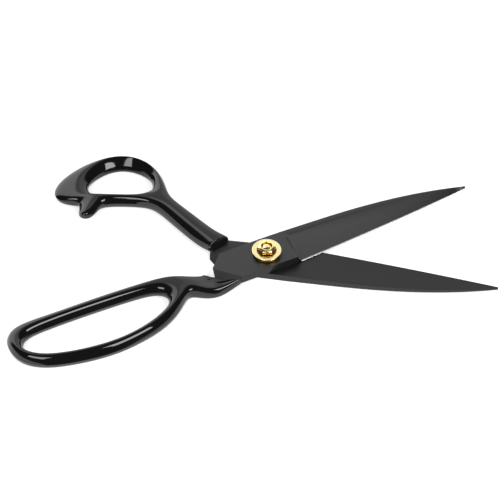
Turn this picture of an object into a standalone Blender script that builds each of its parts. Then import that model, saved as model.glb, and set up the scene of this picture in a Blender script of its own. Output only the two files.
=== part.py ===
# Ten inch tailor's shears: two forged blades turning on a bolt, each with a cast bow handle.
#
# Metres, +Z up. The origin is on the pivot axis, on the table that the shears lie on.
# +X runs along the line that the closed blades share, towards the tips.
# Each half is modelled in its own frame: the pivot at the origin, +X to the blade's tip,
# -Y on the cutting side, and +Z away from the other half, whose inner face lies across Z = 0.
# The lower half is the same frame turned over about X.

import math

import bmesh
import bpy
from mathutils import Matrix, Vector

MM = 0.001
UP = Vector((0.0, 0.0, 1.0))

# Whole tool
OPENING = math.radians(34.9)        # angle between the blades as the shears lie
PLANE_Z = 4.5 * MM                  # height of the plane where the blades meet
FIT = 0.3 * MM                      # working gap between neighbouring pieces

# Blades
BLADE_LENGTH = 117.5 * MM           # pivot to tip
BLADE_THICKNESS = 4.2 * MM          # at the pivot
TIP_THICKNESS = 1.2 * MM
SPINE_HALF = 10.3 * MM              # pivot line to the spine
SPINE_STRAIGHT = 30.0 * MM          # the spine runs straight to here, then curves to the tip
SPINE_CURVE_END = 118.5 * MM        # where that curve would meet the pivot line
SPINE_POWER = 2.6
CUT_HALF = 9.9 * MM                 # pivot line to the cutting side beside the pivot
EDGE_BOW = 0.45 * MM                # how far the cutting edge bows outward
RICASSO_END = 13.0 * MM             # full thickness up to here
PLUNGE = 1.6 * MM                   # length of the step down to the ground face
GRIND_SHARE_ROOT = 0.74             # ground part of the blade's width, at the pivot end
GRIND_SHARE_TIP = 0.45
EDGE_BEVEL = 0.6 * MM               # polished bevel along the cutting edge
EDGE_BEVEL_HEIGHT = 0.45 * MM
HOLLOW = 0.2 * MM                   # hollow grind of the inner face
SIDE_DRAFT = 0.7 * MM               # lean of the cutting side beside the pivot
SPINE_DRAFT = 0.25 * MM
TAIL_LENGTH = 34.0 * MM             # plate behind the pivot, before its ends are cut
TAIL_TAPER = 1.0 * MM               # each side draws in this much along the tail
BLADE_STATIONS = 16

# Ends of the plate: one ramps down into its own handle, the other is undercut
# to pass the leaning collar of the other handle as the shears close
COLLAR_NORMAL = Vector((-0.72, -0.694, 0.0)).normalized()
COLLAR_DISTANCE = 20.3 * MM         # pivot to the foot of the collar
COLLAR_LEAN = 0.6                   # how far the collar leans back for each unit of height
CLEARED_NORMAL = Vector((-0.72, 0.694, 0.0)).normalized()
CLEARANCE = 0.45 * MM
PLATE_END = 21.3 * MM               # pivot to the plate's end, inside the handle
RAMP_FOOT = 2.0 * MM                # height where the ramp meets the handle
RAMP_DROP = 2.35 * MM
RAMP_RUN = 1.55 * MM

# Tang, cast into the handle
TANG_WIDTH = 6.0 * MM
TANG_LENGTH = 11.0 * MM             # past the plate's end
TANG_ROOT = 7.0 * MM                # overlap with the plate
TANG_STEP = 4.6 * MM                # the tang steps down this far past the plate's end
TANG_TOP = 1.2 * MM
TANG_NECK_BOTTOM = 0.4 * MM
TANG_BOTTOM = -1.8 * MM

# Handles
HANDLE_HALF = 4.0 * MM              # half the thickness of the bows
CAST_REACH = 1.2 * MM               # casting left past the collar for the trim to cut
PRONG_LOW = -3.6 * MM
EDGE_ROUND = 0.32                   # crease that sets how tightly the bars' edges are rounded
CAST_LEVELS = 2

# Pivot
BOLT_DIAMETER = 5.0 * MM
BOLT_SIDES = 32
HEAD_DIAMETER = 12.0 * MM
HEAD_HEIGHT = 1.5 * MM
HEAD_CHAMFER = 0.4 * MM
NECK_WIDTH = 5.0 * MM               # square neck keyed in the lower blade
CUP_DIAMETER = 15.0 * MM
CUP_HEIGHT = 1.8 * MM
CUP_RECESS = 9.9 * MM
CUP_FLOOR = 0.6 * MM
CUP_ROUND = 0.3 * MM
WASHER_DIAMETER = 9.2 * MM
WASHER_HEIGHT = 0.5 * MM
NUT_ACROSS_FLATS = 8.0 * MM
NUT_HEIGHT = 3.0 * MM
NUT_TURN = math.radians(-15.4)      # how the nut stands, one flat towards the near side
DOME_HEIGHT = 1.0 * MM

# Finger bow: pairs of outer and inner points round the hole, in millimetres.
# The last two pairs and the first one are where the shank leaves the ring.
FINGER_RING = [
    ((-52.5, 8.2), (-60.5, 3.2)),
    ((-66.0, 9.5), (-70.0, 4.3)),
    ((-82.0, 9.9), (-83.0, 4.7)),
    ((-99.0, 9.9), (-99.0, 4.9)),
    ((-115.0, 9.7), (-114.0, 4.7)),
    ((-131.0, 10.3), (-126.5, 4.0)),
    ((-137.4, 5.2), (-131.3, 0.6)),
    ((-137.9, -4.2), (-132.5, -4.3)),
    ((-134.5, -11.6), (-129.9, -9.2)),
    ((-126.3, -17.6), (-123.6, -13.4)),
    ((-115.0, -21.0), (-113.5, -16.6)),
    ((-102.0, -23.4), (-102.0, -18.6)),
    ((-89.0, -24.1), (-90.0, -19.5)),
    ((-76.5, -22.4), (-78.5, -18.3)),
    ((-65.0, -19.0), (-68.0, -15.3)),
    ((-54.5, -13.0), (-59.0, -10.8)),
    ((-45.5, -4.8), (-54.8, -5.2)),
    ((-47.0, 1.5), (-56.0, -0.2)),
]
# Rows of near, middle and far points from the ring to the handle's end face, then their heights
FINGER_SHANK = [
    ((-41.0, -7.6), (-42.0, -1.8), (-43.6, 4.7), (3.7, 3.7, 3.7)),
    ((-35.8, -10.8), (-37.6, -5.0), (-38.2, 2.0), (3.2, 3.1, 3.1)),
    ((-29.5, -11.7), (-33.0, -6.0), (-34.0, 0.7), (3.2, 2.8, 3.0)),
]
FINGER_COLLAR_Y = (-9.2, -4.9, -0.5)
FINGER_COLLAR_HEIGHTS = (4.0, 3.0, 3.2)
FINGER_TANG_TURN = math.radians(180.0)

# Thumb bow, with the prong that meets the finger bow when the shears close
THUMB_RING = [
    ((-57.0, -33.8), (-66.6, -38.2)),
    ((-60.6, -42.0), (-68.0, -43.7)),
    ((-66.6, -51.2), (-72.2, -48.9)),
    ((-75.4, -57.8), (-78.8, -52.2)),
    ((-86.0, -59.6), (-86.8, -53.2)),
    ((-96.2, -57.0), (-94.2, -50.2)),
    ((-105.6, -50.8), (-99.6, -44.8)),
    ((-113.4, -42.0), (-102.6, -38.4)),
    ((-118.2, -32.6), (-102.8, -32.6)),
    ((-116.4, -23.9), (-100.4, -29.0)),
    ((-109.0, -22.4), (-97.6, -28.3)),
    ((-102.6, -23.0), (-95.2, -28.3)),
    ((-92.2, -23.6), (-90.8, -28.7)),
    ((-82.6, -25.4), (-83.2, -29.5)),
    ((-73.6, -26.6), (-75.2, -30.8)),
    ((-66.0, -26.8), (-69.8, -33.9)),
    ((-61.5, -30.2), (-67.6, -36.0)),
]
# How far the hole widens at each pair, on the side that lies upward
THUMB_FLARE = [0.0, 0.6, 2.0, 3.2, 3.6, 3.2, 2.0, 0.8] + [0.0] * 9
THUMB_SHANK = [
    ((-60.0, -24.4), (-57.0, -27.8), (-52.2, -29.0), (3.8, 3.8, 3.8)),
    ((-47.5, -14.0), (-44.0, -17.4), (-40.2, -20.2), (3.2, 3.2, 3.2)),
    ((-36.0, -5.2), (-33.2, -9.2), (-30.0, -13.1), (2.6, 2.7, 2.8)),
]
THUMB_COLLAR_Y = (-0.9, -4.3, -7.6)
THUMB_COLLAR_HEIGHTS = (2.3, 2.8, 3.0)
THUMB_TANG_TURN = math.radians(180.0 + 34.0)
PRONG_PAIR = 11                     # the prong grows from the ring between this pair and the next
# Left and right points, then their height
PRONG_ROWS = [
    ((-102.0, -17.8), (-94.2, -18.6), 1.6),
    ((-101.0, -12.3), (-95.8, -12.3), 0.8),
]


def clear_scene():
    for obj in list(bpy.data.objects):
        bpy.data.objects.remove(obj, do_unlink=True)


def new_collection(name):
    collection = bpy.data.collections.new(name)
    bpy.context.scene.collection.children.link(collection)
    return collection


def finish(name, colour, roughness, metallic):
    material = bpy.data.materials.new(name)
    material.use_nodes = True
    shader = material.node_tree.nodes["Principled BSDF"]
    shader.inputs["Base Color"].default_value = (*colour, 1.0)
    shader.inputs["Roughness"].default_value = roughness
    shader.inputs["Metallic"].default_value = metallic
    return material


def make_object(name, bm, collection, parent, material=None):
    mesh = bpy.data.meshes.new(name)
    bmesh.ops.recalc_face_normals(bm, faces=bm.faces[:])
    bm.to_mesh(mesh)
    bm.free()
    obj = bpy.data.objects.new(name, mesh)
    collection.objects.link(obj)
    obj.parent = parent
    if material:
        mesh.materials.append(material)
        mesh.shade_smooth()
        mesh.set_sharp_from_angle(angle=math.radians(30.0))
    return obj


def make_cutter(name, bm, collection, parent):
    cutter = make_object(name, bm, collection, parent)
    cutter.hide_render = True
    cutter.display_type = "WIRE"
    return cutter


def combine(obj, operation, tool):
    boolean = obj.modifiers.new(operation.title() + " " + tool.name, "BOOLEAN")
    boolean.operation = operation
    boolean.object = tool
    boolean.solver = "EXACT"


def add_empty(name, collection, parent=None, location=(0.0, 0.0, 0.0), rotation=(0.0, 0.0, 0.0)):
    empty = bpy.data.objects.new(name, None)
    collection.objects.link(empty)
    empty.parent = parent
    empty.location = location
    empty.rotation_euler = rotation
    return empty


def blade_ring(x):
    """Six corners of the blade's section at x: edge, bevel, grind line, spine and hollow."""
    inner = FIT / 2
    s = max(0.0, (x - RICASSO_END) / (BLADE_LENGTH - RICASSO_END))
    top = inner + BLADE_THICKNESS + (TIP_THICKNESS - BLADE_THICKNESS) * s
    curve = max(0.0, (x - SPINE_STRAIGHT) / (SPINE_CURVE_END - SPINE_STRAIGHT))
    taper = TAIL_TAPER * max(0.0, -x / TAIL_LENGTH)
    spine = SPINE_HALF * (1.0 - curve ** SPINE_POWER) - taper
    edge = -CUT_HALF * (1.0 - s) - EDGE_BOW * 4.0 * s * (1.0 - s) + taper
    share = GRIND_SHARE_ROOT + (GRIND_SHARE_TIP - GRIND_SHARE_ROOT) * s
    grind = edge + share * (spine - edge)
    if x <= RICASSO_END:
        bevel = (edge + SIDE_DRAFT, top)
        hollow = inner
    else:
        bevel = (edge + EDGE_BEVEL * (1.0 - 0.6 * s), inner + EDGE_BEVEL_HEIGHT * (1.0 - 0.6 * s))
        hollow = inner + HOLLOW * (1.0 - s)
    section = [
        (edge, inner),
        bevel,
        (grind, top),
        (spine - SPINE_DRAFT * (1.0 - s), top),
        (spine, inner),
        ((edge + spine) / 2, hollow),
    ]
    return [(x, y, z) for y, z in section]


def loft(rings):
    bm = bmesh.new()
    rows = [[bm.verts.new(point) for point in ring] for ring in rings]
    for low, high in zip(rows, rows[1:]):
        for i in range(len(low)):
            j = (i + 1) % len(low)
            bm.faces.new((low[i], low[j], high[j], high[i]))
    bm.faces.new(rows[0])
    bm.faces.new(rows[-1])
    bmesh.ops.recalc_face_normals(bm, faces=bm.faces[:])
    return bm


def slice_off(bm, point, normal):
    """Cuts away what lies past a plane and closes the cut with a flat face."""
    cut = bmesh.ops.bisect_plane(
        bm, geom=bm.verts[:] + bm.edges[:] + bm.faces[:],
        plane_co=point, plane_no=normal, clear_outer=True, dist=1e-7)
    edges = [item for item in cut["geom_cut"] if isinstance(item, bmesh.types.BMEdge)]
    bmesh.ops.contextual_create(bm, geom=edges)


def prism(outline, along, half):
    """A closed body: a flat outline pushed both ways along a direction."""
    bm = bmesh.new()
    face = bm.faces.new([bm.verts.new(Vector(point) - along * half) for point in outline])
    side = bmesh.ops.extrude_face_region(bm, geom=[face])["geom"]
    moved = [item for item in side if isinstance(item, bmesh.types.BMVert)]
    bmesh.ops.translate(bm, vec=along * (2 * half), verts=moved)
    return bm


def collar_point(y, distance):
    """The point at this y on the line that lies square to the collar at a distance."""
    return Vector(((distance - COLLAR_NORMAL.y * y) / COLLAR_NORMAL.x, y, 0.0))


def tang_body(turn, collar_y, grow):
    """The blade's tang, a bar stepped down into the handle; grow makes the socket round it."""
    profile = [
        (-TANG_ROOT, TANG_NECK_BOTTOM - grow),
        (-TANG_ROOT, TANG_TOP + grow),
        (TANG_LENGTH + grow, TANG_TOP + grow),
        (TANG_LENGTH + grow, TANG_BOTTOM - grow),
        (TANG_STEP - grow, TANG_BOTTOM - grow),
        (TANG_STEP - grow, TANG_NECK_BOTTOM - grow),
    ]
    bm = prism([(u, 0.0, z) for u, z in profile], Vector((0.0, 1.0, 0.0)), TANG_WIDTH / 2 + grow)
    bmesh.ops.rotate(bm, matrix=Matrix.Rotation(turn, 3, "Z"), verts=bm.verts[:])
    bmesh.ops.translate(bm, vec=collar_point(collar_y[1] * MM, PLATE_END), verts=bm.verts[:])
    return bm


def end_trim():
    """What is cut from the casting's end: a seat for the plate, and the leaning collar below it."""
    tall = 4 * HANDLE_HALF
    ledge = -FIT / 2
    profile = [
        (0.0, tall),
        (PLATE_END + FIT, tall),
        (PLATE_END + FIT, ledge),
        (COLLAR_DISTANCE, ledge),
        (COLLAR_DISTANCE + COLLAR_LEAN * tall, ledge - tall),
        (0.0, ledge - tall),
    ]
    outline = [COLLAR_NORMAL * distance + UP * z for distance, z in profile]
    return prism(outline, COLLAR_NORMAL.cross(UP), TAIL_LENGTH)


def cylinder(diameter, low, high, sides=BOLT_SIDES):
    bm = bmesh.new()
    bmesh.ops.create_cone(
        bm, cap_ends=True, segments=sides, radius1=diameter / 2, radius2=diameter / 2, depth=high - low)
    bmesh.ops.translate(bm, vec=(0.0, 0.0, (low + high) / 2), verts=bm.verts[:])
    return bm


def square_bar(width, low, high):
    bm = bmesh.new()
    bmesh.ops.create_cube(bm, size=1.0)
    bmesh.ops.scale(bm, vec=(width, width, high - low), verts=bm.verts[:])
    bmesh.ops.translate(bm, vec=(0.0, 0.0, (low + high) / 2), verts=bm.verts[:])
    return bm


def make_blade(name, parent, turn, collar_y, parts, cutters, material):
    stations = [-TAIL_LENGTH, 0.0, RICASSO_END]
    ground = RICASSO_END + PLUNGE
    for k in range(BLADE_STATIONS + 1):
        along = 1.0 - (1.0 - k / BLADE_STATIONS) ** 1.5
        stations.append(ground + (BLADE_LENGTH - ground) * along)
    bm = loft([blade_ring(x) for x in stations])
    end = COLLAR_NORMAL * PLATE_END
    slice_off(bm, end, COLLAR_NORMAL)
    ramp = COLLAR_NORMAL * RAMP_DROP + UP * RAMP_RUN
    slice_off(bm, end + UP * RAMP_FOOT, ramp.normalized())
    cleared = CLEARED_NORMAL * (COLLAR_DISTANCE - CLEARANCE) + UP * FIT / 2
    undercut = CLEARED_NORMAL - UP * COLLAR_LEAN
    slice_off(bm, cleared, undercut.normalized())
    blade = make_object(name, bm, parts, parent, material)
    tang = tang_body(turn, collar_y, 0.0)
    combine(blade, "UNION", make_cutter(name + "_tang", tang, cutters, parent))
    return blade


def make_handle(name, parent, ring, flare, shank, collar, prong, turn, parts, cutters, material):
    bm = bmesh.new()
    heights = {}
    lows = {}

    def corner(point, height=HANDLE_HALF, low=-HANDLE_HALF):
        vert = bm.verts.new((point[0] * MM, point[1] * MM, 0.0))
        heights[vert] = height
        lows[vert] = low
        return vert

    outer = [corner(pair[0]) for pair in ring]
    inner = [corner(pair[1]) for pair in ring]
    count = len(ring)
    for i in range(count):
        j = (i + 1) % count
        bm.faces.new((outer[i], outer[j], inner[j], inner[i]))

    rows = [[outer[-2], outer[-1], outer[0]]]
    for near, middle, far, tops in shank:
        rows.append([corner(point, top * MM) for point, top in zip((near, middle, far), tops)])
    ends = [collar_point(y * MM, COLLAR_DISTANCE - CAST_REACH) / MM for y in collar[0]]
    rows.append([corner(point, top * MM) for point, top in zip(ends, collar[1])])
    for low, high in zip(rows, rows[1:]):
        for i in range(2):
            bm.faces.new((low[i], low[i + 1], high[i + 1], high[i]))

    low = [outer[PRONG_PAIR], outer[PRONG_PAIR + 1]]
    for left, right, top in prong:
        high = [corner(point, top * MM, PRONG_LOW) for point in (left, right)]
        bm.faces.new((low[0], low[1], high[1], high[0]))
        low = high

    bmesh.ops.recalc_face_normals(bm, faces=bm.faces[:])
    plan = list(bm.verts)
    lifted = bmesh.ops.extrude_face_region(bm, geom=bm.faces[:])["geom"]
    above = {}
    for item in lifted:
        if isinstance(item, bmesh.types.BMVert):
            above[item.co.copy().freeze()] = item
    tops = {vert: above[vert.co.copy().freeze()] for vert in plan}
    for vert in plan:
        tops[vert].co.z = heights[vert]
        vert.co.z = lows[vert]
    for i, amount in enumerate(flare):
        widen = (outer[i].co - inner[i].co).normalized()
        inner[i].co += widen * amount * MM

    crease = bm.edges.layers.float.new("crease_edge")
    end_verts = set(rows[-1]) | {tops[vert] for vert in rows[-1]}
    uprights = {frozenset((vert, tops[vert])) for vert in plan}
    for edge in bm.edges:
        if all(vert in end_verts for vert in edge.verts):
            edge[crease] = 1.0
        elif frozenset(edge.verts) not in uprights and edge.calc_face_angle(0.0) > math.radians(45.0):
            edge[crease] = EDGE_ROUND

    handle = make_object(name, bm, parts, parent, material)
    smooth = handle.modifiers.new("Casting", "SUBSURF")
    smooth.levels = CAST_LEVELS
    smooth.render_levels = CAST_LEVELS
    combine(handle, "DIFFERENCE", make_cutter(name + "_end_trim", end_trim(), cutters, parent))
    socket = tang_body(turn, collar[0], FIT)
    combine(handle, "DIFFERENCE", make_cutter(name + "_socket", socket, cutters, parent))
    return handle


def turned(name, profile, parts, parent, material, closed):
    """A turned piece: a profile of radius and height that runs down its outer side."""
    bm = bmesh.new()
    verts = [bm.verts.new((radius, 0.0, z)) for radius, z in profile]
    for low, high in zip(verts, verts[1:]):
        bm.edges.new((low, high))
    if closed:
        bm.edges.new((verts[-1], verts[0]))
    obj = make_object(name, bm, parts, parent, material)
    screw = obj.modifiers.new("Turning", "SCREW")
    screw.axis = "Z"
    screw.steps = BOLT_SIDES
    screw.render_steps = BOLT_SIDES
    screw.use_merge_vertices = True
    screw.merge_threshold = 1e-6
    screw.use_smooth_shade = True
    return obj


def make_pivot(lower, upper_blade, lower_blade, parts, cutters, brass):
    inner = FIT / 2
    blade_top = inner + BLADE_THICKNESS
    bore = BOLT_DIAMETER + 2 * FIT

    # Holes in the blades: a round one above, a square one with a sunk seat below
    round_hole = cylinder(bore, 0.0, 2 * blade_top)
    combine(upper_blade, "DIFFERENCE",
            make_cutter("upper_pivot_hole", round_hole, cutters, upper_blade.parent))
    square_hole = square_bar(NECK_WIDTH + 2 * FIT, -2 * blade_top, 0.0)
    square = make_cutter("lower_square_hole", square_hole, cutters, lower)
    head_top = -PLANE_Z + HEAD_HEIGHT
    seat_hole = cylinder(HEAD_DIAMETER + 2 * FIT, -2 * PLANE_Z, head_top + FIT)
    seat = make_cutter("lower_head_seat", seat_hole, cutters, lower)
    combine(lower_blade, "DIFFERENCE", square)
    combine(lower_blade, "DIFFERENCE", seat)

    # Bolt: flat head, square neck, round shank with a domed end
    cup_bottom = blade_top + FIT
    cup_floor = cup_bottom + CUP_FLOOR
    washer_bottom = cup_floor + FIT
    nut_bottom = washer_bottom + WASHER_HEIGHT + FIT
    nut_top = nut_bottom + NUT_HEIGHT
    end = nut_top - 0.1 * NUT_HEIGHT
    radius = BOLT_DIAMETER / 2
    head = HEAD_DIAMETER / 2
    dome = [(radius * math.sin(a), end - DOME_HEIGHT * (1.0 - math.cos(a)))
            for a in (math.radians(15.0 * k) for k in range(7))]
    profile = dome + [
        (radius, head_top),
        (head, head_top),
        (head, -PLANE_Z + HEAD_CHAMFER),
        (head - HEAD_CHAMFER, -PLANE_Z),
        (0.0, -PLANE_Z),
    ]
    bolt = turned("pivot_bolt", profile, parts, lower, brass, closed=False)
    neck = square_bar(NECK_WIDTH, head_top - HEAD_HEIGHT / 2, -inner - FIT)
    combine(bolt, "UNION", make_cutter("bolt_neck", neck, cutters, lower))

    # Cup washer, with the nut sunk in its recess
    outer = CUP_DIAMETER / 2
    recess = CUP_RECESS / 2
    rim = cup_bottom + CUP_HEIGHT
    cup = [
        (recess + CUP_ROUND, rim),
        (outer - CUP_ROUND, rim),
        (outer, rim - CUP_ROUND),
        (outer, cup_bottom),
        (bore / 2, cup_bottom),
        (bore / 2, cup_floor),
        (recess, cup_floor),
        (recess, rim - CUP_ROUND),
    ]
    turned("cup_washer", cup, parts, lower, brass, closed=True)

    washer = WASHER_DIAMETER / 2
    ring = [
        (washer, washer_bottom + WASHER_HEIGHT),
        (washer, washer_bottom),
        (bore / 2, washer_bottom),
        (bore / 2, washer_bottom + WASHER_HEIGHT),
    ]
    turned("nut_washer", ring, parts, lower, brass, closed=True)

    # Hexagon nut, its corners turned off by a cone
    corners = NUT_ACROSS_FLATS / math.sqrt(3.0)
    hexagon = cylinder(2 * corners, nut_bottom, nut_top, sides=6)
    bmesh.ops.rotate(hexagon, matrix=Matrix.Rotation(NUT_TURN, 3, "Z"), verts=hexagon.verts[:])
    nut = make_object("tension_nut", hexagon, parts, lower, brass)
    reach = corners - NUT_ACROSS_FLATS / 2
    turning = bmesh.new()
    wide = 2 * corners
    bmesh.ops.create_cone(
        turning, cap_ends=True, segments=BOLT_SIDES, depth=wide,
        radius1=corners + 1.7 * wide - 2.2 * reach, radius2=corners - 2.2 * reach)
    bmesh.ops.translate(turning, vec=(0.0, 0.0, nut_top - wide / 2), verts=turning.verts[:])
    combine(nut, "INTERSECT", make_cutter("nut_chamfer", turning, cutters, lower))
    nut_bore = cylinder(bore, nut_bottom - NUT_HEIGHT, nut_top + NUT_HEIGHT)
    combine(nut, "DIFFERENCE", make_cutter("nut_bore", nut_bore, cutters, lower))


def main():
    clear_scene()
    parts = new_collection("tailors_shears")
    cutters = new_collection("cutters")
    steel = finish("blackened_steel", (0.045, 0.045, 0.047), 0.42, 0.6)
    enamel = finish("black_enamel", (0.006, 0.006, 0.007), 0.08, 0.0)
    brass = finish("gilt_brass", (0.83, 0.58, 0.2), 0.16, 1.0)

    pivot = (0.0, 0.0, PLANE_Z)
    upper = add_empty("upper_half", parts, location=pivot, rotation=(0.0, 0.0, OPENING / 2))
    lower = add_empty("lower_half", parts, location=pivot, rotation=(0.0, 0.0, -OPENING / 2))
    turned_over = add_empty("lower_half_turned_over", parts, lower, rotation=(math.pi, 0.0, 0.0))

    upper_blade = make_blade(
        "upper_blade", upper, FINGER_TANG_TURN, FINGER_COLLAR_Y, parts, cutters, steel)
    lower_blade = make_blade(
        "lower_blade", turned_over, THUMB_TANG_TURN, THUMB_COLLAR_Y, parts, cutters, steel)
    make_handle(
        "finger_bow", upper, FINGER_RING, [], FINGER_SHANK, (FINGER_COLLAR_Y, FINGER_COLLAR_HEIGHTS),
        [], FINGER_TANG_TURN, parts, cutters, enamel)
    make_handle(
        "thumb_bow", turned_over, THUMB_RING, THUMB_FLARE, THUMB_SHANK,
        (THUMB_COLLAR_Y, THUMB_COLLAR_HEIGHTS), PRONG_ROWS, THUMB_TANG_TURN, parts, cutters, enamel)
    make_pivot(lower, upper_blade, lower_blade, parts, cutters, brass)
    bpy.context.view_layer.update()


main()
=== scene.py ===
import math

import bmesh
import bpy
from mathutils import Matrix, Vector


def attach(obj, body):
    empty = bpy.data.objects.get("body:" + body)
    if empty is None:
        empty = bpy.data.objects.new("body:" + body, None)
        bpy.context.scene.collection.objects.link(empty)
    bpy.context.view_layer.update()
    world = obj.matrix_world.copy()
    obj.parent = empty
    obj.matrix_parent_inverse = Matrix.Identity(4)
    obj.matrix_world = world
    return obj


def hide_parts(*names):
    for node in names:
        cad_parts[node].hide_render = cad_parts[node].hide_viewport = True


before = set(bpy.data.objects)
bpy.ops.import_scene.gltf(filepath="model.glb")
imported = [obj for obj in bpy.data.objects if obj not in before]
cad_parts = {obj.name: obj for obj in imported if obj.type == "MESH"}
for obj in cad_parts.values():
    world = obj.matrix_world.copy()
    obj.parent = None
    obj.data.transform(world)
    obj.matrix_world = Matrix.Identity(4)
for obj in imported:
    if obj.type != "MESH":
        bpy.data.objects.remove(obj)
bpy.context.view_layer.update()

# Each half is drawn in its own frame, in mm: pivot at the origin, +X to the blade's tip,
# -Y on the cutting side, +Z away from the other half. The lower half is turned over.
mm = 0.001
layout = {"opening": 34.9, "planeHeight": 4.5, "fit": 0.3, "slack": 0.01}

inner = layout["fit"] / 2                            # each half stops this far from the plane where they meet
halfOpening = math.radians(layout["opening"] / 2)
pivotPlace = Matrix.Translation((0, 0, layout["planeHeight"] * mm))
upperPlace = pivotPlace @ Matrix.Rotation(halfOpening, 4, "Z")
pinPlace = pivotPlace @ Matrix.Rotation(-halfOpening, 4, "Z")
lowerPlace = pinPlace @ Matrix.Rotation(math.pi, 4, "X")


# Shader maths

class Wire:
    # one socket of a node tree, so that maths on it reads as an expression
    def __init__(self, tree, socket):
        self.tree = tree
        self.socket = socket

    def node(self, kind, settings, values, out=0):
        made = self.tree.nodes.new(kind)
        for key, value in settings.items():
            setattr(made, key, value)
        for key, value in values.items():
            feed(self.tree, made.inputs[key], value)
        return Wire(self.tree, made.outputs[out])

    def math(self, operation, first, second=0.0):
        return self.node("ShaderNodeMath", {"operation": operation}, {0: first, 1: second})

    def __add__(self, other):
        return self.math("ADD", self, other)

    def __radd__(self, other):
        return self.math("ADD", other, self)

    def __sub__(self, other):
        return self.math("SUBTRACT", self, other)

    def __rsub__(self, other):
        return self.math("SUBTRACT", other, self)

    def __mul__(self, other):
        return self.math("MULTIPLY", self, other)

    def __rmul__(self, other):
        return self.math("MULTIPLY", other, self)

    def part(self, axis):
        # the X, Y or Z of a vector, as 0, 1 or 2
        return self.node("ShaderNodeSeparateXYZ", {}, {"Vector": self}, out=axis)

    def mapped(self, turn=0.0, scale=(1.0, 1.0, 1.0)):
        # coordinates turned about Z or stretched
        values = {"Vector": self, "Rotation": (0.0, 0.0, turn), "Scale": scale}
        return self.node("ShaderNodeMapping", {}, values)

    def noise(self, scale, detail=2.0, roughness=0.5):
        settings = {"noise_dimensions": "3D"}
        values = {"Vector": self, "Scale": scale, "Detail": detail, "Roughness": roughness}
        return self.node("ShaderNodeTexNoise", settings, values)

    def between(self, low, high):
        # 0 below low, 1 above high, eased in between
        settings = {"interpolation_type": "SMOOTHSTEP"}
        return self.node("ShaderNodeMapRange", settings, {"Value": self, "From Min": low, "From Max": high})

    def blend(self, first, second):
        # a colour that goes from first to second as this value goes from 0 to 1
        settings = {"data_type": "RGBA"}
        return self.node("ShaderNodeMix", settings, {0: self, 6: first, 7: second}, out=2)


def feed(tree, socket, value):
    if isinstance(value, Wire):
        tree.links.new(value.socket, socket)
    elif isinstance(value, (tuple, list)) and socket.type == "RGBA":
        socket.default_value = (*value[:3], 1.0)
    else:
        socket.default_value = value


def newMaterial(name, constants):
    material = bpy.data.materials.new(name)
    material.use_nodes = True
    tree = material.node_tree
    shader = tree.nodes["Principled BSDF"]
    for key, value in constants.items():
        feed(tree, shader.inputs[key], value)
    coordinates = tree.nodes.new("ShaderNodeTexCoord")
    return material, shader, Wire(tree, coordinates.outputs["Object"])


def bumpInto(shader, height, look):
    values = {"Strength": look["bumpStrength"], "Distance": look["relief"], "Height": height}
    feed(height.tree, shader.inputs["Normal"], height.node("ShaderNodeBump", {}, values))


def levelness(place):
    # 1 where a face looks straight up or down, 0 where it stands upright
    normal = place.node("ShaderNodeNewGeometry", {}, {}, out="Normal")
    return place.math("ABSOLUTE", normal.part(2))


def shaded(colour, share):
    return [channel * share for channel in colour]


# Finishes

enamelLook = {
    "colour": (0.0035, 0.0035, 0.0038),
    "bloomGain": 1.8,         # how much paler the bloom on it is
    "specular": 0.5,
    "roughness": 0.045,
    "roughnessSpread": 0.03,
    "bloomScale": 56.0,
    "waveScale": 140.0,       # slow waves left by the casting, per metre
    "peelScale": 1400.0,      # orange peel of the stoved coat
    "peelShare": 0.12,
    "bumpStrength": 0.25,
    "relief": 0.00002,
}


def enamelMaterial(name, look):
    material, shader, place = newMaterial(name, {"Specular IOR Level": look["specular"]})
    waves = place.noise(look["waveScale"], detail=2.0)
    peel = place.noise(look["peelScale"], detail=3.0)
    bloom = place.noise(look["bloomScale"], detail=4.0)
    colour = bloom.blend(look["colour"], shaded(look["colour"], look["bloomGain"]))
    feed(place.tree, shader.inputs["Base Color"], colour)
    feed(place.tree, shader.inputs["Roughness"], look["roughness"] + look["roughnessSpread"] * bloom)
    bumpInto(shader, waves + look["peelShare"] * peel, look)
    return material


steelLook = {
    "colour": (0.003, 0.003, 0.0031),
    "paler": (0.006, 0.006, 0.0061),
    "toneRange": (0.3, 0.7),
    "ground": (0.039, 0.039, 0.0395),   # painted sheen: the ground face painted paler, most towards its root, for the light it catches
    "groundSlope": (0.008, 0.02),       # its lean off the level starts here
    "wallSlope": (0.05, 0.1),           # and ends here
    "groundSheenFade": (0.03, 0.15),         # metres along the blade
    "specular": 0.34,
    "roughness": 0.36,
    "roughnessSpread": 0.14,
    "sideGloss": 0.22,                  # the side walls are ground finer than the flats
    "coat": 0.68,                       # the flats are oiled
    "coatLevel": (0.6, 0.8),
    "coatRoughness": 0.40,
    "grainScale": 5200.0,               # fine tooth of the black coat
    "strokeScale": 2600.0,              # grinding strokes across the blade
    "strokeStretch": 0.035,
    "patchScale": 45.0,
    "strokeTone": 0.45, "grainTone": 0.3, "patchTone": 0.25,
    "strokeShare": 0.6,                 # of the relief, and the grain is the rest
    "bumpStrength": 0.3,
    "relief": 0.00001,
}


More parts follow.
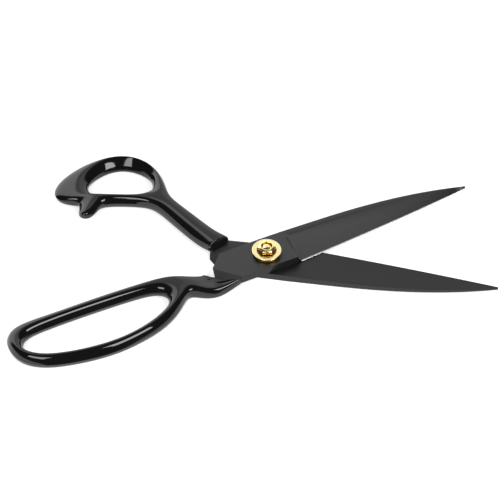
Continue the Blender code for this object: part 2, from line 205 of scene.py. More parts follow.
def steelMaterial(name, look, turn):
    material, shader, place = newMaterial(name, {
        "Specular IOR Level": look["specular"], "Coat Roughness": look["coatRoughness"]})
    along = place.mapped(turn=-turn)
    stretched = along.mapped(scale=(1.0, look["strokeStretch"], 1.0))
    strokes = stretched.noise(look["strokeScale"], detail=3.0, roughness=0.6)
    grain = place.noise(look["grainScale"], detail=2.0, roughness=0.6)
    patches = place.noise(look["patchScale"], detail=3.0)
    tone = look["strokeTone"] * strokes + look["grainTone"] * grain + look["patchTone"] * patches
    colour = tone.between(*look["toneRange"]).blend(look["colour"], look["paler"])
    level = levelness(place)
    slope = 1 - level
    # painted sheen: faces that lean a little off the level, the ground face, take a paler colour that fades
    # out along the blade
    ground = slope.between(*look["groundSlope"]) * (1 - slope.between(*look["wallSlope"]))
    ground = ground * (1 - along.part(0).between(*look["groundSheenFade"]))
    feed(place.tree, shader.inputs["Base Color"], ground.blend(colour, look["ground"]))
    rough = look["roughness"] + look["roughnessSpread"] * (0.5 * strokes + 0.5 * grain)
    feed(place.tree, shader.inputs["Roughness"], rough - look["sideGloss"] * slope)
    feed(place.tree, shader.inputs["Coat Weight"], look["coat"] * level.between(*look["coatLevel"]))
    bumpInto(shader, look["strokeShare"] * strokes + (1 - look["strokeShare"]) * grain, look)
    return material


edgeLook = {
    "colour": (0.66, 0.66, 0.67),
    "duller": 0.9,                      # the strokes' share of that colour
    "roughness": 0.42,
    "roughnessSpread": 0.15,
    "strokeScale": 3200.0,
    "strokeStretch": 0.05,
    "bumpStrength": 0.1,
    "relief": 0.000004,
}


def groundEdgeMaterial(name, look, turn):
    material, shader, place = newMaterial(name, {"Metallic": 1.0})
    stretch = look["strokeStretch"]
    stretched = place.mapped(turn=-turn).mapped(scale=(1.0, stretch, stretch))
    strokes = stretched.noise(look["strokeScale"], detail=3.0)
    colour = strokes.blend(shaded(look["colour"], look["duller"]), look["colour"])
    feed(place.tree, shader.inputs["Base Color"], colour)
    feed(place.tree, shader.inputs["Roughness"], look["roughness"] + look["roughnessSpread"] * strokes)
    bumpInto(shader, strokes, look)
    return material


brassLook = {
    "colour": (1.0, 0.87, 0.46),
    "deeper": (0.98, 0.82, 0.40),
    "tarnishScale": 420.0,
    "tarnishRange": (0.35, 0.75),
    "paintedSideTone": (0.95, 0.78, 0.36),   # painted light and shade: the tint upright faces take for the brass reflections and shade on them
    "paintedSideLevel": (0.2, 0.6),
    "paintedShade": (0.95, 0.78, 0.36),      # painted shade in the sunk middle
    "paintedShadeRadius": 0.0001,            # how far that reaches from the pivot, in metres
    "paintedShadeEdge": 0.0002,
    "roughness": 0.2,
    "tarnishRoughness": 0.05,
    "grainScale": 6000.0,
    "grainRoughness": 0.02,
    "ringPitch": 0.0003,                # turning marks round the pivot
    "ringShare": 0.6,
    "bumpStrength": 0.25,
    "relief": 0.0000003,
}


def brassMaterial(name, look):
    material, shader, place = newMaterial(name, {"Metallic": 1.0})
    across, along = place.part(0), place.part(1)
    radius = place.math("SQRT", across * across + along * along)
    rings = place.math("SINE", radius * (2.0 * math.pi / look["ringPitch"]))
    tarnish = place.noise(look["tarnishScale"], detail=4.0)
    grain = place.noise(look["grainScale"], detail=2.0)
    colour = tarnish.between(*look["tarnishRange"]).blend(look["colour"], look["deeper"])
    # painted light and shade: upright faces take their own tint
    colour = levelness(place).between(*look["paintedSideLevel"]).blend(look["paintedSideTone"], colour)
    # painted shade: darker within a radius of the pivot, where the recess is
    outside = radius.between(look["paintedShadeRadius"], look["paintedShadeRadius"] + look["paintedShadeEdge"])
    feed(place.tree, shader.inputs["Base Color"], outside.blend(look["paintedShade"], colour))
    rough = look["roughness"] + look["tarnishRoughness"] * tarnish + look["grainRoughness"] * grain
    feed(place.tree, shader.inputs["Roughness"], rough)
    bumpInto(shader, look["ringShare"] * rings + (1 - look["ringShare"]) * grain, look)
    return material


enamel = enamelMaterial("black_enamel_gloss", enamelLook)
upperSteel = steelMaterial("upper_black_steel", steelLook, halfOpening)
lowerSteel = steelMaterial("lower_black_steel", {**steelLook, "coat": 0.25}, -halfOpening)
upperEdge = groundEdgeMaterial("upper_ground_edge", edgeLook, halfOpening)
lowerEdge = groundEdgeMaterial("lower_ground_edge", edgeLook, -halfOpening)
brass = brassMaterial("bright_gilt_brass", brassLook)
# the nut's upright faces painted a deeper orange, a painted reflection of the brass around them
nutBrass = brassMaterial("satin_gilt_brass", {**brassLook, "paintedSideTone": (1.0, 0.76, 0.3)})
# painted shade: the cup's upright sides and its sunk recess painted darker
cupBrass = brassMaterial("cup_gilt_brass", {
    **brassLook, "paintedSideTone": (0.6, 0.36, 0.09), "paintedShade": (0.34, 0.17, 0.04), "paintedShadeRadius": 0.0048})
print("finishes: enamel, black steel, ground edge and brass")


# Modelling helpers

def extrudeRow(bm, row, points, closed=False):
    # pulls a chain of edges to a new row of points, and returns the new row
    after = row[1:] + row[:1] if closed else row[1:]
    edges = [bm.edges.get(pair) for pair in zip(row, after)]
    made = bmesh.ops.extrude_edge_only(bm, edges=edges)["geom"]
    fresh = [item for item in made if isinstance(item, bmesh.types.BMVert)]
    pulled = [min(fresh, key=lambda vert: (vert.co - old.co).length) for old in row]
    for vert, point in zip(pulled, points):
        vert.co = point
    return pulled


def liftFaces(bm, faces):
    # extrudes a region in place; returns its new faces, and its new verts by where they stand
    made = bmesh.ops.extrude_face_region(bm, geom=faces)["geom"]
    newFaces = [item for item in made if isinstance(item, bmesh.types.BMFace)]
    newVerts = {spot(item): item for item in made if isinstance(item, bmesh.types.BMVert)}
    return newFaces, newVerts


def spot(vert):
    return tuple(round(value, 5) for value in vert.co)


def sliceOff(bm, point, normal):
    # cuts away what lies past a plane and closes the cut
    cut = bmesh.ops.bisect_plane(
        bm, geom=bm.verts[:] + bm.edges[:] + bm.faces[:],
        plane_co=point, plane_no=normal, clear_outer=True, dist=1e-4)
    edges = [item for item in cut["geom_cut"] if isinstance(item, bmesh.types.BMEdge)]
    bmesh.ops.contextual_create(bm, geom=edges)


def roundEdges(bm, edges, width, segments):
    bmesh.ops.bevel(
        bm, geom=edges, offset=width, segments=segments, profile=0.5,
        affect="EDGES", clamp_overlap=True, material=-1)


def sharpEdges(bm, degrees):
    return [edge for edge in bm.edges if edge.calc_face_angle(0.0) > math.radians(degrees)]


def turnProfile(profile, steps, closed):
    bm = bmesh.new()
    verts = [bm.verts.new((radius, 0, height)) for radius, height in profile]
    edges = [bm.edges.new(pair) for pair in zip(verts, verts[1:])]
    if closed:
        edges.append(bm.edges.new((verts[-1], verts[0])))
    bmesh.ops.spin(
        bm, geom=verts + edges, cent=(0, 0, 0), axis=(0, 0, 1), angle=2 * math.pi,
        steps=steps, use_merge=True)
    bmesh.ops.remove_doubles(bm, verts=bm.verts[:], dist=1e-4)
    bmesh.ops.recalc_face_normals(bm, faces=bm.faces[:])
    return bm


def prism(outline, low, high):
    # an outline in X and Z pushed along Y
    bm = bmesh.new()
    verts = [bm.verts.new((x, low, z)) for x, z in outline]
    edges = [bm.edges.new(pair) for pair in zip(verts, verts[1:] + verts[:1])]
    face = bmesh.ops.contextual_create(bm, geom=edges)["faces"]
    made = bmesh.ops.extrude_face_region(bm, geom=face)["geom"]
    moved = [item for item in made if isinstance(item, bmesh.types.BMVert)]
    bmesh.ops.translate(bm, vec=(0, high - low, 0), verts=moved)
    bmesh.ops.recalc_face_normals(bm, faces=bm.faces[:])
    return bm


def pillar(diameter, low, high, sides):
    bm = bmesh.new()
    bmesh.ops.create_cone(
        bm, cap_ends=True, segments=sides, radius1=diameter / 2, radius2=diameter / 2, depth=high - low)
    bmesh.ops.translate(bm, vec=(0, 0, (low + high) / 2), verts=bm.verts[:])
    return bm


def block(width, low, high):
    bm = bmesh.new()
    bmesh.ops.create_cube(bm, size=1.0)
    bmesh.ops.scale(bm, vec=(width, width, high - low), verts=bm.verts[:])
    bmesh.ops.translate(bm, vec=(0, 0, (low + high) / 2), verts=bm.verts[:])
    return bm


def putDown(name, bm, place, materials):
    # writes a mesh drawn in mm to its place in the shared frame
    bmesh.ops.scale(bm, vec=(mm, mm, mm), verts=bm.verts[:])
    bmesh.ops.transform(bm, matrix=place, verts=bm.verts[:])
    bmesh.ops.recalc_face_normals(bm, faces=bm.faces[:])
    mesh = bpy.data.meshes.new(name)
    bm.to_mesh(mesh)
    bm.free()
    for material in materials:
        mesh.materials.append(material)
    piece = bpy.data.objects.new(name, mesh)
    bpy.context.scene.collection.objects.link(piece)
    return piece


def settle(piece):
    # applies the modifiers that a piece has so far
    bpy.context.view_layer.update()
    evaluated = piece.evaluated_get(bpy.context.evaluated_depsgraph_get())
    mesh = bpy.data.meshes.new_from_object(evaluated)
    piece.modifiers.clear()
    piece.data = mesh


def carve(piece, operation, bm, place):
    # joins a tool to a piece or cuts it out, then removes the tool
    tool = putDown(piece.name + "Tool", bm, place, [])
    boolean = piece.modifiers.new("Carve", "BOOLEAN")
    boolean.operation = operation
    boolean.solver = "EXACT"
    boolean.object = tool
    settle(piece)
    bpy.data.objects.remove(tool, do_unlink=True)


def hang(piece, body, node, smoothAngle=30.0):
    piece.data.shade_smooth()
    piece.data.set_sharp_from_angle(angle=math.radians(smoothAngle))
    facets = piece.modifiers.new("Facets", "WEIGHTED_NORMAL")
    facets.keep_sharp = True
    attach(piece, body)
    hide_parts(node)
    print("piece:", piece.name, len(piece.data.polygons), "faces")


# Blades

bladeShape = {
    "length": 117.5, "thickness": 4.2, "tipThickness": 1.2,
    "spineHalf": 10.3, "spineStraight": 30.0, "spineEnd": 120.3, "spinePower": 2.52,
    "cutHalf": 9.9, "edgeBow": 0.6, "ricassoEnd": 13.0, "plunge": 2.4,
    "grindRoot": 0.75, "grindTip": 0.78,             # shares of the width, from the edge
    "bevelWidth": 0.6, "bevelHeight": 0.5, "bevelTaper": 0.6,
    "hollow": 0.2, "spineLand": 2.6, "sideDraft": 0.35, "spineDraft": 0.25,
    "tailLength": 34.0, "tailTaper": 1.0, "edgeTaper": 1.0,
    "stations": 40, "stationEase": 1.4, "plungeSteps": 6, "plungeEase": 1.5,
    "edgeRound": 0.22, "roundSegments": 2, "roundOver": 28.0,   # degrees; flatter edges stay as they are
}
collar = {
    "normal": Vector((-0.72, -0.694, 0)).normalized(),         # square to the plate's slanted end
    "clearedNormal": Vector((-0.72, 0.694, 0)).normalized(),   # the other half's, which this blade clears
    "distance": 20.3, "lean": 0.6, "clearance": 0.45, "plateEnd": 22.6,
    "rampFoot": 0.7, "rampDrop": 3.65, "rampRun": 2.85,
}
tang = {
    "width": 6.0, "length": 11.0, "root": 7.0, "step": 4.6,
    "top": 1.2, "neckBottom": 0.4, "bottom": -1.8,
}
pivotHole = {
    "diameter": 5.6, "square": 5.6, "seat": 12.6, "seatDepth": 1.8,
    "toolReach": 8.0, "toolBack": 2.0, "sides": 64, "seatSides": 96,
}


def bladeSection(shape, x):
    # edge, bevel, grind line, spine top, spine foot, the land beside it and the hollow
    s = max(0.0, (x - shape["ricassoEnd"]) / (shape["length"] - shape["ricassoEnd"]))
    top = inner + shape["thickness"] + (shape["tipThickness"] - shape["thickness"]) * s
    curve = max(0.0, (x - shape["spineStraight"]) / (shape["spineEnd"] - shape["spineStraight"]))
    tail = max(0.0, -x / shape["tailLength"])
    spine = shape["spineHalf"] * (1 - curve ** shape["spinePower"]) - shape["tailTaper"] * tail
    edge = -shape["cutHalf"] * (1 - s) - shape["edgeBow"] * 4 * s * (1 - s) + shape["edgeTaper"] * tail
    grind = edge + (shape["grindRoot"] + (shape["grindTip"] - shape["grindRoot"]) * s) * (spine - edge)
    sunk = min(1.0, max(0.0, (x - shape["ricassoEnd"]) / shape["plunge"]))
    sunk = 1 - (1 - sunk) ** 2                       # the wheel's curve at the plunge
    narrowed = 1 - shape["bevelTaper"] * s
    width = shape["sideDraft"] + (shape["bevelWidth"] * narrowed - shape["sideDraft"]) * sunk
    height = top + (inner + shape["bevelHeight"] * narrowed - top) * sunk
    land = spine - shape["spineLand"] * (spine - edge) / (shape["spineHalf"] + shape["cutHalf"])
    hollow = inner + shape["hollow"] * (1 - s) * sunk
    section = [
        (edge, inner), (edge + width, height), (grind, top), (spine - shape["spineDraft"] * (1 - s), top),
        (spine, inner), (land, inner), ((edge + land) / 2, hollow),
    ]
    return [Vector((x, y, z)) for y, z in section]


def tangBody(turn, collarY, grow):
    outline = [
        (-tang["root"], tang["neckBottom"] - grow), (-tang["root"], tang["top"] + grow),
        (tang["length"] + grow, tang["top"] + grow), (tang["length"] + grow, tang["bottom"] - grow),
        (tang["step"] - grow, tang["bottom"] - grow), (tang["step"] - grow, tang["neckBottom"] - grow),
    ]
    bm = prism(outline, -tang["width"] / 2 - grow, tang["width"] / 2 + grow)
    bmesh.ops.rotate(bm, matrix=Matrix.Rotation(turn, 3, "Z"), verts=bm.verts[:])
    bmesh.ops.translate(bm, vec=collarPoint(collarY[1], collar["plateEnd"]), verts=bm.verts[:])
    return bm


def collarPoint(y, distance):
    # where a line along the blade meets the collar's end, this far from the pivot
    normal = collar["normal"]
    return Vector(((distance - normal.y * y) / normal.x, y, 0))


def forgeBlade(name, shape, place, materials, tangTurn, collarY):
    ground = shape["ricassoEnd"] + shape["plunge"]
    stations = [-shape["tailLength"], 0.0]
    for step in range(shape["plungeSteps"] + 1):
        share = (step / shape["plungeSteps"]) ** shape["plungeEase"]
        stations.append(shape["ricassoEnd"] + shape["plunge"] * share)
    for step in range(1, shape["stations"] + 1):
        share = 1 - (1 - step / shape["stations"]) ** shape["stationEase"]
        stations.append(ground + (shape["length"] - ground) * share)

    bm = bmesh.new()
    row = [bm.verts.new(point) for point in bladeSection(shape, stations[0])]
    for pair in zip(row, row[1:] + row[:1]):
        bm.edges.new(pair)
    bmesh.ops.contextual_create(bm, geom=row)
    cutting = set()
    for x in stations[1:]:
        row = extrudeRow(bm, row, bladeSection(shape, x), closed=True)
        if x > shape["ricassoEnd"]:
            cutting.update(row[:2])
    bmesh.ops.contextual_create(bm, geom=row)
    for face in bm.faces:                            # the bright strip along the edge
        if all(vert in cutting and vert.co.x > ground - layout["slack"] for vert in face.verts):
            face.material_index = 1
    bmesh.ops.recalc_face_normals(bm, faces=bm.faces[:])

    normal = collar["normal"]
    sliceOff(bm, normal * collar["plateEnd"], normal)
    ramp = normal * collar["rampDrop"] + Vector((0, 0, collar["rampRun"]))
    sliceOff(bm, normal * collar["plateEnd"] + Vector((0, 0, collar["rampFoot"])), ramp.normalized())
    cleared = collar["clearedNormal"]
    undercut = cleared - Vector((0, 0, collar["lean"]))
    start = cleared * (collar["distance"] - collar["clearance"]) + Vector((0, 0, inner))
    sliceOff(bm, start, undercut.normalized())
    corners = sharpEdges(bm, shape["roundOver"])
    corners = [edge for edge in corners if not all(vert in cutting for vert in edge.verts)]
    roundEdges(bm, corners, shape["edgeRound"], shape["roundSegments"])

    blade = putDown(name, bm, place, materials)
    carve(blade, "UNION", tangBody(tangTurn, collarY, 0.0), place)
    return blade


fingerHandle = {
    # pairs of outer and inner points round the hole; the shank leaves from the last two and the first
    "ring": [
        ((-51.4, 8.9), (-60.6, 3.1)), ((-65.2, 10.5), (-70.1, 4.2)), ((-81.8, 11.2), (-83.0, 4.6)),
        ((-99.0, 11.2), (-99.0, 4.8)), ((-115.3, 11.0), (-114.0, 4.6)), ((-131.7, 11.3), (-126.4, 3.9)),
        ((-138.0, 5.7), (-131.2, 0.5)), ((-138.1, -4.2), (-132.4, -4.3)), ((-134.5, -11.6), (-128.8, -8.6)),
        ((-126.3, -17.6), (-123.0, -12.4)), ((-115.0, -21.0), (-113.1, -15.5)),
        ((-102.0, -23.4), (-102.0, -17.4)), ((-89.0, -24.1), (-90.3, -18.3)),
        ((-76.5, -22.4), (-79.0, -17.2)), ((-64.5, -19.6), (-68.8, -14.4)),
        ((-53.6, -13.4), (-59.7, -10.4)), ((-45.5, -4.8), (-55.1, -5.2)), ((-47.0, 1.5), (-56.1, -0.2)),
    ],
    "flare": [0.0] * 18,
    "ringOver": [(3.9, 4.0)] + [(3.6, 4.0)] * 5 + [(3.8, 4.0)] * 3 + [(3.3, 4.2)] * 7 + [(3.8, 4.0)] * 2,
    # near, middle and far points from the ring to the plate, then how far each stands over and under
    "shank": [
        ((-41.0, -7.6), (-42.0, -1.8), (-43.6, 6.0), (3.4, 3.9, 3.4), (4.0, 4.0, 4.0)),
        ((-35.8, -10.8), (-37.6, -5.0), (-38.2, 3.7), (3.1, 2.6, 2.6), (4.0, 4.0, 4.0)),
        ((-29.5, -11.7), (-33.0, -6.0), (-34.6, 2.8), (3.0, 1.2, 1.4), (4.0, 4.0, 4.0)),
    ],
    "up": 1, "skirt": -0.5,
    "collarY": (-9.8, -4.9, 2.3),
    "collarTops": (4.3, 0.8, 1.6),
    "collarLows": (-0.8, -3.6, -4.0),
    "collarSeats": (20.6, 22.6, 22.6),
    "collarTuck": (0.0, 0.0, -2.0),                  # clear of the other handle when closed
    "tangTurn": math.radians(180.0),
    "prong": [],
}
thumbHandle = {
    "ring": [
        ((-57.7, -34.1), (-67.3, -38.5)), ((-61.0, -42.1), (-68.8, -43.9)), ((-66.2, -51.4), (-72.6, -48.6)),
        ((-75.2, -58.1), (-79.3, -51.2)), ((-86.0, -60.0), (-86.6, -52.0)), ((-96.5, -57.7), (-93.1, -49.1)),
        ((-106.1, -51.3), (-98.0, -44.0)), ((-114.1, -42.2), (-101.8, -38.1)),
        ((-119.0, -32.6), (-101.9, -32.6)), ((-117.5, -23.5), (-99.3, -29.4)),
        ((-110.1, -21.8), (-96.4, -28.9)), ((-102.9, -22.8), (-94.1, -29.1)),
        ((-91.2, -24.2), (-90.7, -30.0)), ((-82.7, -25.8), (-83.4, -30.8)), ((-73.7, -27.0), (-75.7, -32.0)),
        ((-66.0, -26.8), (-70.2, -34.6)), ((-61.5, -30.2), (-68.2, -36.6)),
    ],
    "ringOver": [(3.9, 4.0)] * 2 + [(3.6, 4.0)] * 5 + [(3.4, 4.0), (2.6, 3.9), (2.2, 3.7), (2.8, 3.8)]
    + [(3.6, 4.0)] * 4 + [(3.8, 4.0)] * 2,
    "flare": [0.0, 0.9, 3.0, 5.2, 5.8, 5.2, 3.4, 1.4] + [0.0] * 9,   # the hole widens upward here
    "shank": [
        ((-60.0, -24.2), (-57.0, -27.8), (-51.6, -29.8), (3.6, 4.0, 3.8), (3.8, 3.8, 3.8)),
        ((-47.7, -13.7), (-44.0, -17.4), (-39.4, -21.2), (3.6, 3.9, 3.8), (3.2, 3.2, 3.2)),
        ((-35.8, -4.3), (-33.2, -9.2), (-29.4, -13.8), (3.5, 3.9, 3.8), (2.6, 2.7, 2.8)),
    ],
    "up": -1, "skirt": -0.9,                         # this half lies turned over
    "collarY": (0.6, -4.3, -7.6),
    "collarTops": (2.9, 2.9, 3.0),
    "collarLows": (-3.7, -4.0, -3.9),
    "collarSeats": (22.6, 22.6, 22.6),
    "collarTuck": (0.0, 0.0, 0.0),
    "tangTurn": math.radians(214.0),
    # left and right points of the rest prong, then how far it stands under the plane
    "prong": [((-102.2, -17.8), (-93.2, -18.4), 1.9), ((-101.4, -11.8), (-95.6, -11.8), 1.0)],
}
casting = {
    "half": 4.0, "prongPair": 11, "prongOver": 3.6,  # the prong grows from this pair of the ring
    "draw": 1.4, "drawShare": 0.25, "swell": 0.25, "ringFoot": 0.0,
    "reach": 1.2, "ledge": 1.3, "middleTuck": 0.3,   # the collar under the plate
    "endCrease": 0.6, "levels": 4, "smoothAngle": 50.0,
}

upperBlade = forgeBlade(
    "upperBlade", {**bladeShape, "edgeTaper": -0.4}, upperPlace, [upperSteel, upperEdge],
    fingerHandle["tangTurn"], fingerHandle["collarY"])
roundHole = pillar(pivotHole["diameter"], -pivotHole["toolBack"], pivotHole["toolReach"], pivotHole["sides"])
carve(upperBlade, "DIFFERENCE", roundHole, upperPlace)
hang(upperBlade, "upper_half", "upper_blade")

lowerBlade = forgeBlade(
    "lowerBlade", bladeShape, lowerPlace, [lowerSteel, lowerEdge],
    thumbHandle["tangTurn"], thumbHandle["collarY"])
squareHole = block(pivotHole["square"], -pivotHole["toolReach"], pivotHole["toolBack"])
carve(lowerBlade, "DIFFERENCE", squareHole, pinPlace)
seatTop = -layout["planeHeight"] + pivotHole["seatDepth"]
headSeat = pillar(pivotHole["seat"], -pivotHole["toolReach"], seatTop, pivotHole["seatSides"])
carve(lowerBlade, "DIFFERENCE", headSeat, pinPlace)
hang(lowerBlade, "lower_half", "lower_blade")


# Cast handles

def castHandle(name, look, place, materials):
    bm = bmesh.new()
    heights = {}                                     # low, middle and top of each plan vertex
    draws = {}                                       # how far its top and bottom draw in, and its middle out

    def flat(point):
        return Vector((point[0], point[1], 0))

    def setHeights(row, overs, unders):
        for vert, over, under in zip(row, overs, unders):
            low, top = (-under, over) if look["up"] > 0 else (-over, under)
            heights[spot(vert)] = (low, -inner, top)

    def drawIn(vert, towards, foot):
        inward = towards.co - vert.co
        inward = inward.normalized() * min(casting["draw"], casting["drawShare"] * inward.length)
        low, top = (foot, 1.0) if look["up"] > 0 else (1.0, foot)
        draws[spot(vert)] = (inward * low, -inward * casting["swell"], inward * top)

    rows = [[bm.verts.new(flat(point)) for point in look["ring"][0]]]
    bm.edges.new(rows[0])
    for pair in look["ring"][1:]:
        rows.append(extrudeRow(bm, rows[-1], [flat(point) for point in pair]))
    bmesh.ops.contextual_create(bm, geom=[bm.edges.get(rows[-1]), bm.edges.get(rows[0])])
    for row, overs in zip(rows, look["ringOver"]):
        setHeights(row, overs, [casting["half"]] * 2)
        drawIn(row[1], row[0], casting["ringFoot"])
    for row in rows[1:-2]:
        drawIn(row[0], row[1], casting["ringFoot"])
    outer = [row[0] for row in rows]
    holeSpots = [spot(row[1]) for row in rows]

    shank = [outer[-2], outer[-1], outer[0]]
    for near, middle, far, overs, unders in look["shank"]:
        shank = extrudeRow(bm, shank, [flat(point) for point in (near, middle, far)])
        setHeights(shank, overs, unders)
        drawIn(shank[0], shank[1], look["skirt"])
        drawIn(shank[2], shank[1], casting["ringFoot"])
    ends = [collarPoint(y, collar["distance"] - casting["reach"]) for y in look["collarY"]]
    runs = [(vert.co.copy(), point - vert.co) for vert, point in zip(shank, ends)]

    def onRun(column, distance, z=0.0):
        # where a line of the shank passes this distance from the pivot, square to the collar
        start, run = runs[column]
        share = (distance - start.dot(collar["normal"])) / run.dot(collar["normal"])
        return start + run * share + Vector((0, 0, z))

    seats = [distance + layout["fit"] for distance in look["collarSeats"]]
    end = extrudeRow(bm, shank, [onRun(column, seat) for column, seat in enumerate(seats)])
    for vert, top, low in zip(end, look["collarTops"], look["collarLows"]):
        heights[spot(vert)] = (low, -inner, top)

    prong = [outer[casting["prongPair"]], outer[casting["prongPair"] + 1]]
    for left, right, under in look["prong"]:
        prong = extrudeRow(bm, prong, [flat(left), flat(right)])
        setHeights(prong, [casting["prongOver"]] * 2, (under, under))
        drawIn(prong[0], prong[1], casting["ringFoot"])
        drawIn(prong[1], prong[0], casting["ringFoot"])

    bmesh.ops.recalc_face_normals(bm, faces=bm.faces[:])
    plan = {spot(vert): vert for vert in bm.verts}
    faces, middleVerts = liftFaces(bm, bm.faces[:])
    topVerts = liftFaces(bm, faces)[1]
    endSpots = [spot(vert) for vert in end]
    for where, vert in plan.items():
        vert.co.z = heights[where][0]
        middleVerts[where].co.z = heights[where][1]
        topVerts[where].co.z = heights[where][2]
    for where, (foot, swell, inward) in draws.items():   # so that the bars are round
        plan[where].co += foot
        middleVerts[where].co += swell
        topVerts[where].co += inward
    for where, outside, amount in zip(holeSpots, outer, look["flare"]):
        away = Vector((outside.co.x - where[0], outside.co.y - where[1], 0)).normalized() * amount
        middleVerts[where].co += away / 2
        plan[where].co += away

    # the collar below the plate leans back, and carries the ledge that the plate lies on
    def leanBack(low):
        return collar["distance"] + collar["lean"] * (-low - inner)

    tucks = [Vector((0, tuck, 0)) for tuck in look["collarTuck"]]
    for column, where in enumerate(endSpots):
        vert = plan[where]
        vert.co = onRun(column, leanBack(vert.co.z) + casting["ledge"], vert.co.z) + tucks[column]
    lowerEnd = {plan[where] for where in endSpots} | {middleVerts[where] for where in endSpots}
    upperEnd = {topVerts[where] for where in endSpots} | {middleVerts[where] for where in endSpots}
    ledge = [face for face in bm.faces if all(vert in lowerEnd for vert in face.verts)]
    lipVerts = liftFaces(bm, ledge)[1]
    for column, where in enumerate(endSpots):
        for vert, share in ((plan[where], 1.0), (middleVerts[where], casting["middleTuck"])):
            moved = lipVerts[spot(vert)]
            moved.co = onRun(column, leanBack(vert.co.z), vert.co.z) + tucks[column] * share

    crease = bm.edges.layers.float.new("crease_edge")
    lip = set(lipVerts.values())
    for edge in bm.edges:
        pair = set(edge.verts)
        if pair <= lip:
            edge[crease] = casting["endCrease"]
        elif pair <= upperEnd:
            edge[crease] = 1.0

    handle = putDown(name, bm, place, materials)
    smooth = handle.modifiers.new("Casting", "SUBSURF")
    smooth.levels = casting["levels"]
    smooth.render_levels = casting["levels"]
    settle(handle)
    carve(handle, "DIFFERENCE", tangBody(look["tangTurn"], look["collarY"], layout["fit"]), place)
    return handle


fingerBow = castHandle("fingerBow", fingerHandle, upperPlace, [enamel])
hang(fingerBow, "upper_half", "finger_bow", casting["smoothAngle"])
thumbBow = castHandle("thumbBow", thumbHandle, lowerPlace, [enamel])
hang(thumbBow, "lower_half", "thumb_bow", casting["smoothAngle"])


# Pivot, drawn from the plane where the blades meet

turning = {"steps": 96, "corner": 60.0, "roundSegments": 3}
bolt = {
    "diameter": 5.0, "head": 12.0, "headHeight": 1.5, "neck": 5.0,
    "endDrop": 0.3, "dome": 1.0, "domeSteps": 8, "edgeRound": 0.25,
}
cup = {"diameter": 15.0, "height": 1.8, "recess": 9.9, "floor": 0.6, "bore": 5.6, "edgeRound": 0.28}
smallWasher = {"diameter": 9.2, "height": 0.5, "bore": 5.6, "edgeRound": 0.1}
nut = {
    "acrossFlats": 8.0, "height": 3.0, "turn": -15.4, "bore": 5.6, "boreOvercut": 1.0,
    "cornerDrop": 2.2, "cornerSlope": 1.7,           # the cone that turns the corners off
    "edgeRound": 0.1, "roundSegments": 2, "roundOver": 25.0,
}

cupBottom = inner + bladeShape["thickness"] + layout["fit"]
cupFloor = cupBottom + cup["floor"]
washerBottom = cupFloor + layout["fit"]
nutBottom = washerBottom + smallWasher["height"] + layout["fit"]
nutTop = nutBottom + nut["height"]


def makeBolt(shape):
    base = -layout["planeHeight"]
    end = nutTop - shape["endDrop"]
    radius = shape["diameter"] / 2
    profile = [(0.0, end)]
    for step in range(1, shape["domeSteps"] + 1):
        angle = math.pi / 2 * step / shape["domeSteps"]
        profile.append((radius * math.sin(angle), end - shape["dome"] * (1 - math.cos(angle))))
    profile += [
        (radius, base + shape["headHeight"]), (shape["head"] / 2, base + shape["headHeight"]),
        (shape["head"] / 2, base), (0.0, base),
    ]
    bm = turnProfile(profile, turning["steps"], closed=False)
    rimRadius = shape["head"] / 2 - layout["slack"]
    corners = sharpEdges(bm, turning["corner"])
    rim = [edge for edge in corners if edge.verts[0].co.xy.length > rimRadius]
    roundEdges(bm, rim, shape["edgeRound"], turning["roundSegments"])
    piece = putDown("pivotBolt", bm, pinPlace, [brass])
    neck = block(shape["neck"], base + shape["headHeight"] / 2, -inner - layout["fit"])
    carve(piece, "UNION", neck, pinPlace)
    return piece


hang(makeBolt(bolt), "lower_half", "pivot_bolt")


def makeRing(name, outerRadius, innerRadius, bore, low, floor, top, rounding):
    # a washer whose middle is sunk to a floor; with no sunk middle the floor is the top
    profile = [(outerRadius, top), (outerRadius, low), (bore / 2, low), (bore / 2, floor)]
    if floor < top:
        profile += [(innerRadius, floor), (innerRadius, top)]
    bm = turnProfile(profile, turning["steps"], closed=True)
    roundEdges(bm, sharpEdges(bm, turning["corner"]), rounding, turning["roundSegments"])
    return putDown(name, bm, pinPlace, [cupBrass])


cupWasher = makeRing(
    "cupWasher", cup["diameter"] / 2, cup["recess"] / 2, cup["bore"],
    cupBottom, cupFloor, cupBottom + cup["height"], cup["edgeRound"])
hang(cupWasher, "lower_half", "cup_washer")
washerTop = washerBottom + smallWasher["height"]
nutWasher = makeRing(
    "nutWasher", smallWasher["diameter"] / 2, 0.0, smallWasher["bore"],
    washerBottom, washerTop, washerTop, smallWasher["edgeRound"])
hang(nutWasher, "lower_half", "nut_washer")


def makeNut(shape):
    corner = shape["acrossFlats"] / math.sqrt(3)
    bm = pillar(2 * corner, nutBottom, nutTop, 6)
    bmesh.ops.rotate(bm, matrix=Matrix.Rotation(math.radians(shape["turn"]), 3, "Z"), verts=bm.verts[:])
    piece = putDown("tensionNut", bm, pinPlace, [nutBrass])
    topRadius = corner - shape["cornerDrop"] * (corner - shape["acrossFlats"] / 2)
    tall = 2 * corner
    cone = bmesh.new()
    bmesh.ops.create_cone(
        cone, cap_ends=True, segments=turning["steps"], depth=tall,
        radius1=topRadius + shape["cornerSlope"] * tall, radius2=topRadius)
    bmesh.ops.translate(cone, vec=(0, 0, nutTop - tall / 2), verts=cone.verts[:])
    carve(piece, "INTERSECT", cone, pinPlace)
    overcut = shape["boreOvercut"]
    bore = pillar(shape["bore"], nutBottom - overcut, nutTop + overcut, turning["steps"])
    carve(piece, "DIFFERENCE", bore, pinPlace)
    soften = piece.modifiers.new("Soften", "BEVEL")
    soften.width = shape["edgeRound"] * mm
    soften.segments = shape["roundSegments"]
    soften.limit_method = "ANGLE"
    soften.angle_limit = math.radians(shape["roundOver"])
    settle(piece)
    return piece


hang(makeNut(nut), "nut", "tension_nut")


# Camera, floor and light

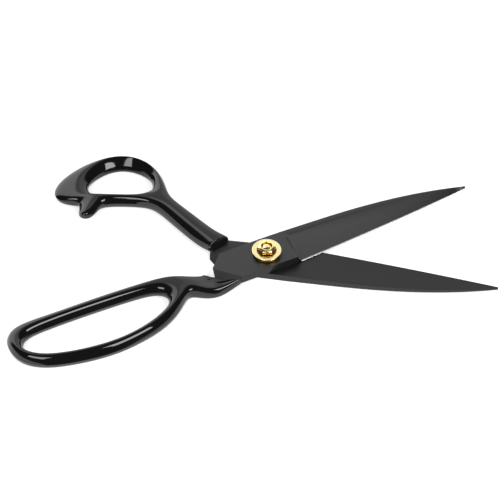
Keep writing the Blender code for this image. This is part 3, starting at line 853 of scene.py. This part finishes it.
camera = {
    "place": (-0.0791, -0.5120, 0.5661), "turn": (43.0, 0.0, -7.85),
    "lens": 108.0, "sensor": 36.0, "clip": (0.01, 20.0),
}
cameraData = bpy.data.cameras.new("camera")
cameraData.lens = camera["lens"]
cameraData.sensor_width = camera["sensor"]
cameraData.clip_start, cameraData.clip_end = camera["clip"]
cameraObject = bpy.data.objects.new("camera", cameraData)
cameraObject.location = camera["place"]
cameraObject.rotation_euler = [math.radians(angle) for angle in camera["turn"]]
bpy.context.scene.collection.objects.link(cameraObject)
bpy.context.scene.camera = cameraObject

floorLook = {
    "size": 6.0, "height": -0.0002, "colour": (0.82, 0.82, 0.82), "roughness": 0.9,
    "lift": 0.5,             # glow that whitens it, only as the camera and the gloss see it
}


def makeFloor(look):
    bm = bmesh.new()
    bmesh.ops.create_grid(bm, x_segments=1, y_segments=1, size=look["size"] / 2 / mm)
    bmesh.ops.translate(bm, vec=(0, 0, look["height"] / mm), verts=bm.verts[:])
    material, shader, place = newMaterial("pale_paper_floor", {
        "Base Color": look["colour"], "Roughness": look["roughness"], "Specular IOR Level": 0.0})
    tree = place.tree
    seen = place.node("ShaderNodeLightPath", {}, {}, out="Is Camera Ray")
    mirrored = place.node("ShaderNodeLightPath", {}, {}, out="Is Glossy Ray")
    glow = place.node("ShaderNodeEmission", {}, {
        "Color": (1.0, 1.0, 1.0), "Strength": look["lift"] * place.math("MAXIMUM", seen, mirrored)})
    both = place.node("ShaderNodeAddShader", {}, {0: Wire(tree, shader.outputs[0]), 1: glow})
    feed(tree, tree.nodes["Material Output"].inputs["Surface"], both)
    floor = putDown("floor", bm, Matrix.Identity(4), [material])


makeFloor(floorLook)

worldLook = {
    "ambient": (0.50, 0.50, 0.51),
    "dark": (0.02, 0.02, 0.02),
    "left": (2.15, 2.15, 2.17),    # the backdrop's two cards, with a gap between them
    "gap": (0.8, 0.8, 0.805),
    "right": (1.1, 1.1, 1.11),
    "white": (1.0, 1.0, 1.0),
    "rise": (0.36, 0.56),          # how far round to the far side the bright backdrop starts and is full
    "gapStart": (-0.10, -0.02),    # how far to the right that gap starts and ends
    "gapEnd": (0.07, 0.10),
}


def makeWorld(look):
    # a bright backdrop behind the shears and a dark ceiling, as gloss shows them; white to the camera
    world = bpy.data.worlds.new("studio")
    world.use_nodes = True
    bpy.context.scene.world = world
    tree = world.node_tree
    direction = Wire(tree, tree.nodes.new("ShaderNodeTexCoord").outputs["Generated"])
    seen = direction.node("ShaderNodeLightPath", {}, {}, out="Is Camera Ray")
    mirrored = direction.node("ShaderNodeLightPath", {}, {}, out="Is Glossy Ray")
    through = direction.node("ShaderNodeLightPath", {}, {}, out="Is Transmission Ray")
    right, behind = direction.part(0), direction.part(1)
    gap = right.between(*look["gapStart"])
    cards = gap.blend(look["left"], right.between(*look["gapEnd"]).blend(look["gap"], look["right"]))
    backdrop = behind.between(*look["rise"]).blend(look["dark"], cards)
    lit = seen.math("MAXIMUM", mirrored, through)
    shown = seen.blend(lit.blend(look["ambient"], backdrop), look["white"])
    feed(tree, tree.nodes["Background"].inputs["Color"], shown)


makeWorld(worldLook)

softboxes = [
    # name, azimuth and elevation it stands at, distance, width, height, watts
    ("frontRightSoftbox", -52.0, 42.0, 1.1, 0.5, 0.5, 7.0),
    ("frontLeftSoftbox", -128.0, 42.0, 1.1, 0.5, 0.5, 5.0),
]


def makeSoftbox(name, azimuth, elevation, distance, width, height, watts):
    data = bpy.data.lights.new(name, "AREA")
    data.shape = "RECTANGLE"
    data.size = width
    data.size_y = height
    data.energy = watts
    lamp = bpy.data.objects.new(name, data)
    around, above = math.radians(azimuth), math.radians(elevation)
    toLamp = Vector((math.cos(around) * math.cos(above), math.sin(around) * math.cos(above), math.sin(above)))
    lamp.location = toLamp * distance
    lamp.rotation_euler = toLamp.to_track_quat("Z", "Y").to_euler()
    bpy.context.scene.collection.objects.link(lamp)


for softbox in softboxes:
    makeSoftbox(*softbox)
bpy.context.scene.view_settings.view_transform = "Standard"
print("stage: camera, floor and", len(softboxes), "softboxes")
